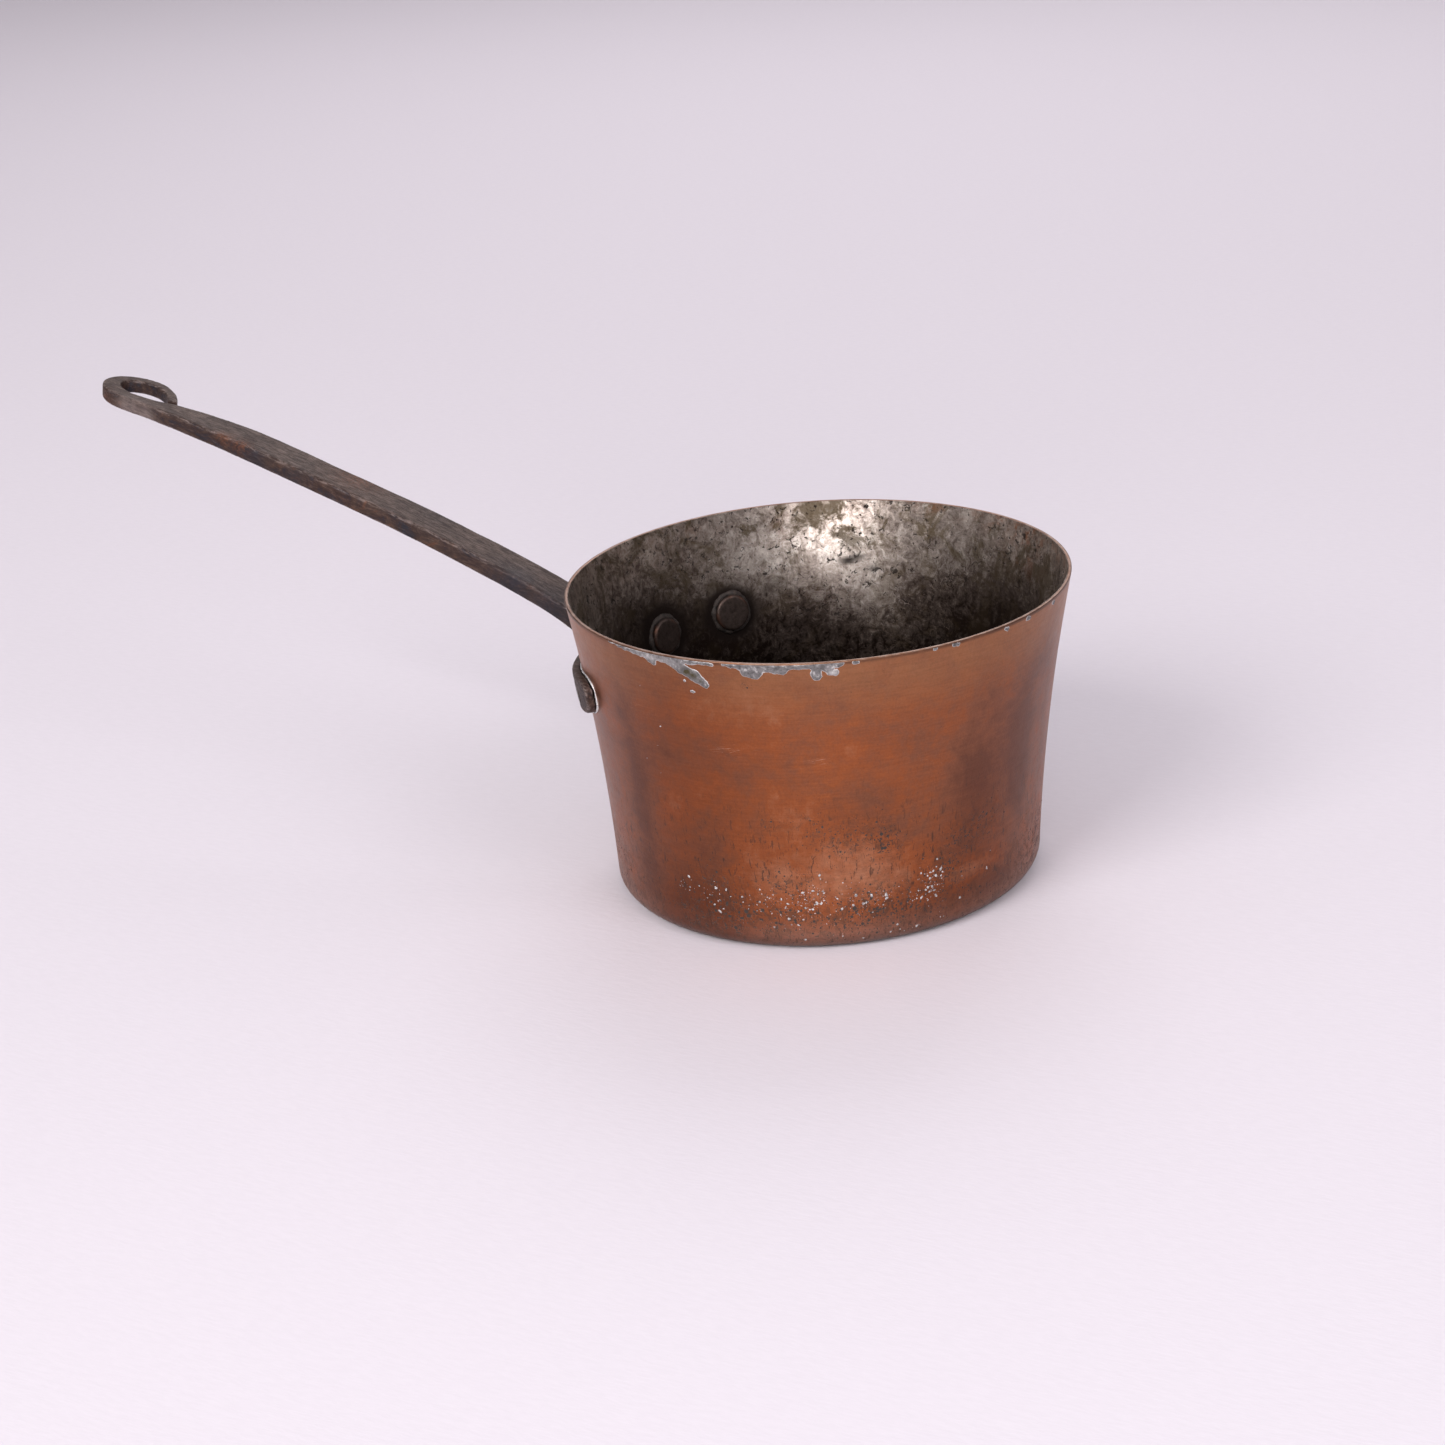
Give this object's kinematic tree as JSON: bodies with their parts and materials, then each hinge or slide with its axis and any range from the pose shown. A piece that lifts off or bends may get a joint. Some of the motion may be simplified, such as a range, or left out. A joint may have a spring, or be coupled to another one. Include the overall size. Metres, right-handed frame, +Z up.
{
  "type": "saucepan",
  "caption": "Copper saucepan with a flaring tinned bowl and a riveted wrought-iron handle that ends in a curled hanging loop.",
  "frame": {"origin": "centre of the base's underside", "axes": "+Z up through the bowl's mouth, -X from the bowl's axis along the handle, +Y to the side that the hanging loop curls towards"},
  "size_m": [0.369, 0.1686, 0.1451],
  "materials": {
    "copper": "worn, browned copper with darker heat stains and pits near the base",
    "tin": "grey, stained hand-wiped tin on the inside of the bowl",
    "wrought_iron": "dull, rust-spotted forged iron, lighter where it is handled",
    "rivet_copper": "dull tinned copper"
  },
  "bodies": {
    "root": {"pan_body": "copper", "handle": "wrought_iron", "rivet_far_outer": "rivet_copper", "rivet_far_inner": "rivet_copper", "rivet_near_inner": "rivet_copper", "rivet_near_outer": "rivet_copper"}
  },
  "joints": []
}
